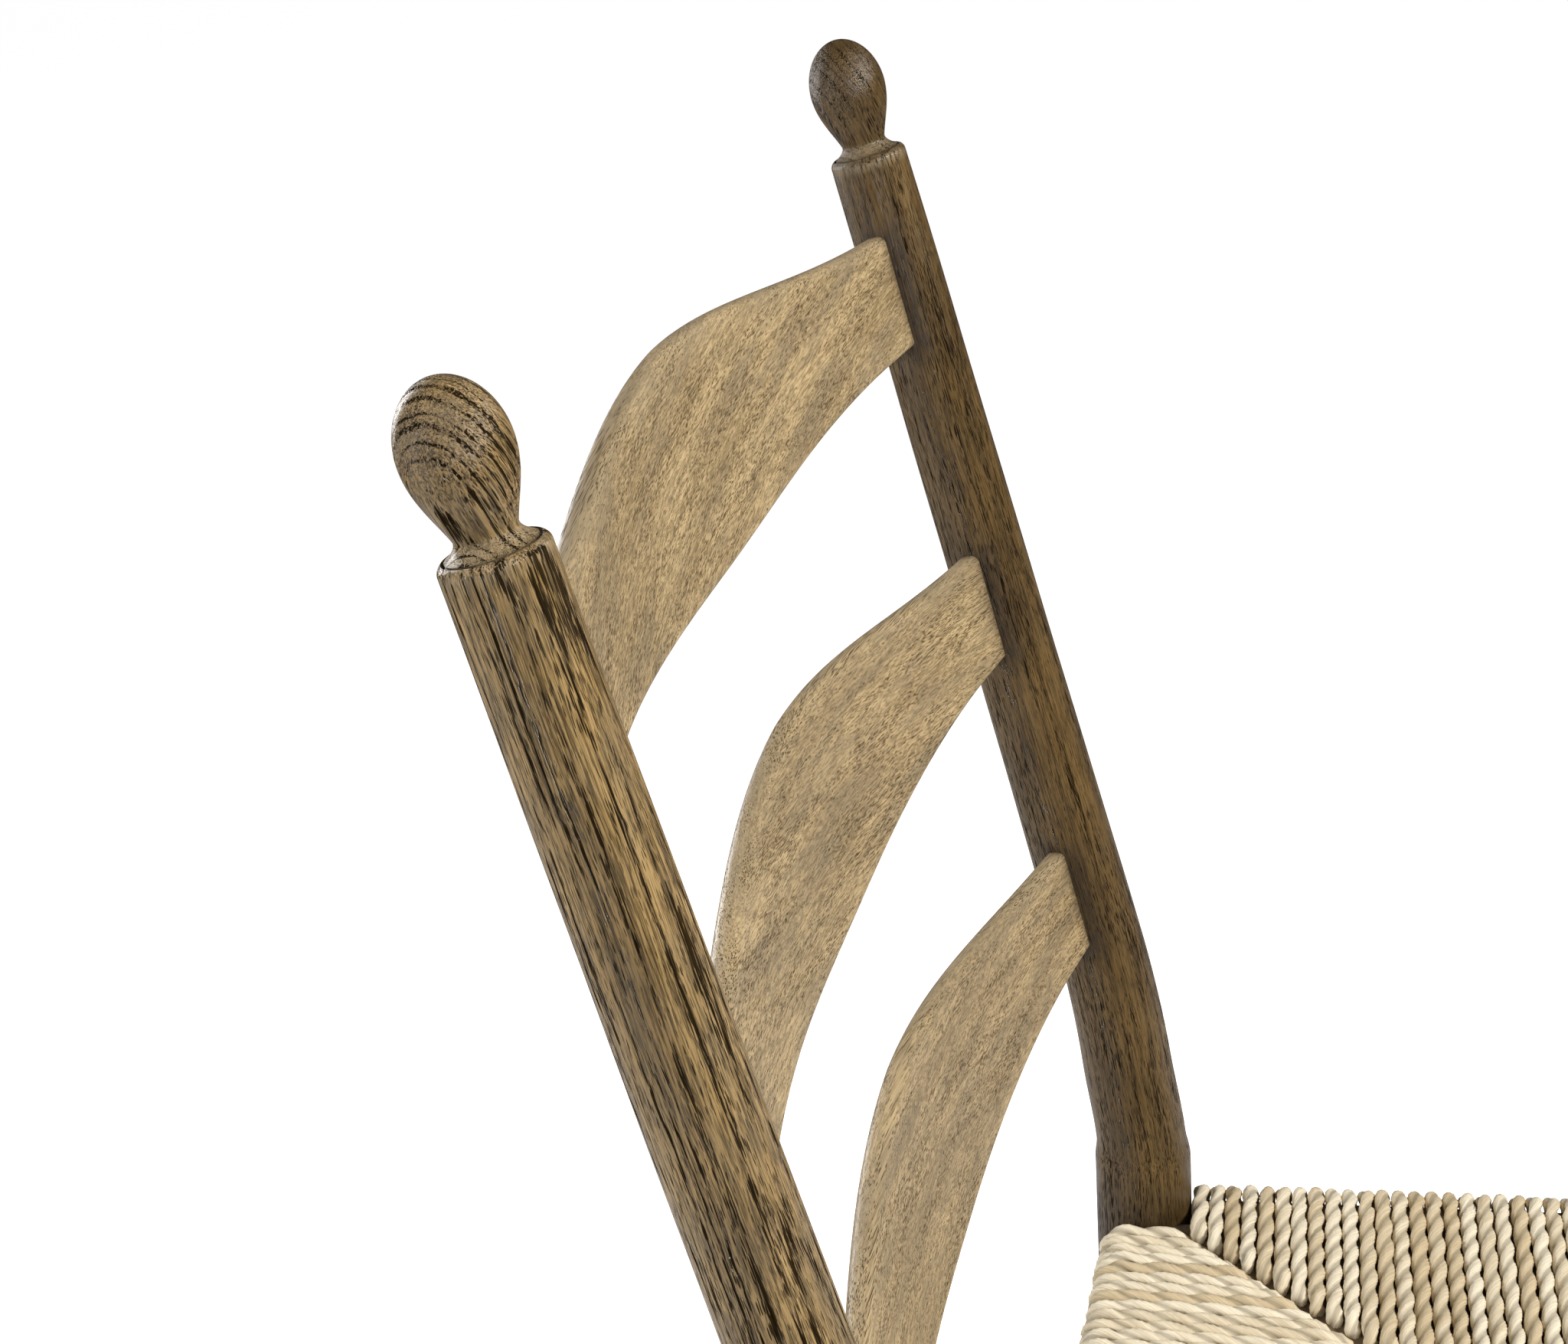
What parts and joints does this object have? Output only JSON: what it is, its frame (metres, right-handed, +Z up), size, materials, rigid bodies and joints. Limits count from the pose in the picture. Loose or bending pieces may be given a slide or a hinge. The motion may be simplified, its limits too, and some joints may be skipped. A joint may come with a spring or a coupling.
{
  "type": "ladder-back chair",
  "caption": "Armless ladder-back dining chair with turned, bent back posts under egg finials, bowed ogee slats and a woven rush seat.",
  "frame": {"origin": "on the floor, under the middle of the bounding box", "axes": "+Z up, -Y the way the sitter faces, +X to the sitter's left"},
  "size_m": [0.5624, 0.5564, 1.015],
  "materials": {
    "oak": "weathered grey-brown oak with open dark pores, waxed to a satin",
    "oak_pale": "paler weathered oak, waxed to a satin",
    "oak_raw": "sawn, unfinished",
    "rush": "dry twisted rush cord",
    "stuffing": "packed dry rush waste",
    "nylon": "matt"
  },
  "bodies": {
    "root": {"back_post_left": "oak", "back_post_right": "oak", "front_leg_left": "oak", "front_leg_right": "oak", "rear_stretcher": "oak", "front_stretcher_lower": "oak", "front_stretcher_upper": "oak", "left_stretcher_lower": "oak", "left_stretcher_upper": "oak", "right_stretcher_lower": "oak", "right_stretcher_upper": "oak", "bottom_slat": "oak_pale", "middle_slat": "oak_pale", "top_slat": "oak_pale", "rear_rail": "oak_raw", "front_rail": "oak_raw", "left_rail": "oak_raw", "right_rail": "oak_raw", "rush_rear": "rush", "rush_front": "rush", "rush_left": "rush", "rush_right": "rush", "stuffing_rear": "stuffing", "stuffing_front": "stuffing", "stuffing_left": "stuffing", "stuffing_right": "stuffing", "rear_left_glide": "nylon", "rear_right_glide": "nylon", "front_left_glide": "nylon", "front_right_glide": "nylon"}
  },
  "joints": []
}
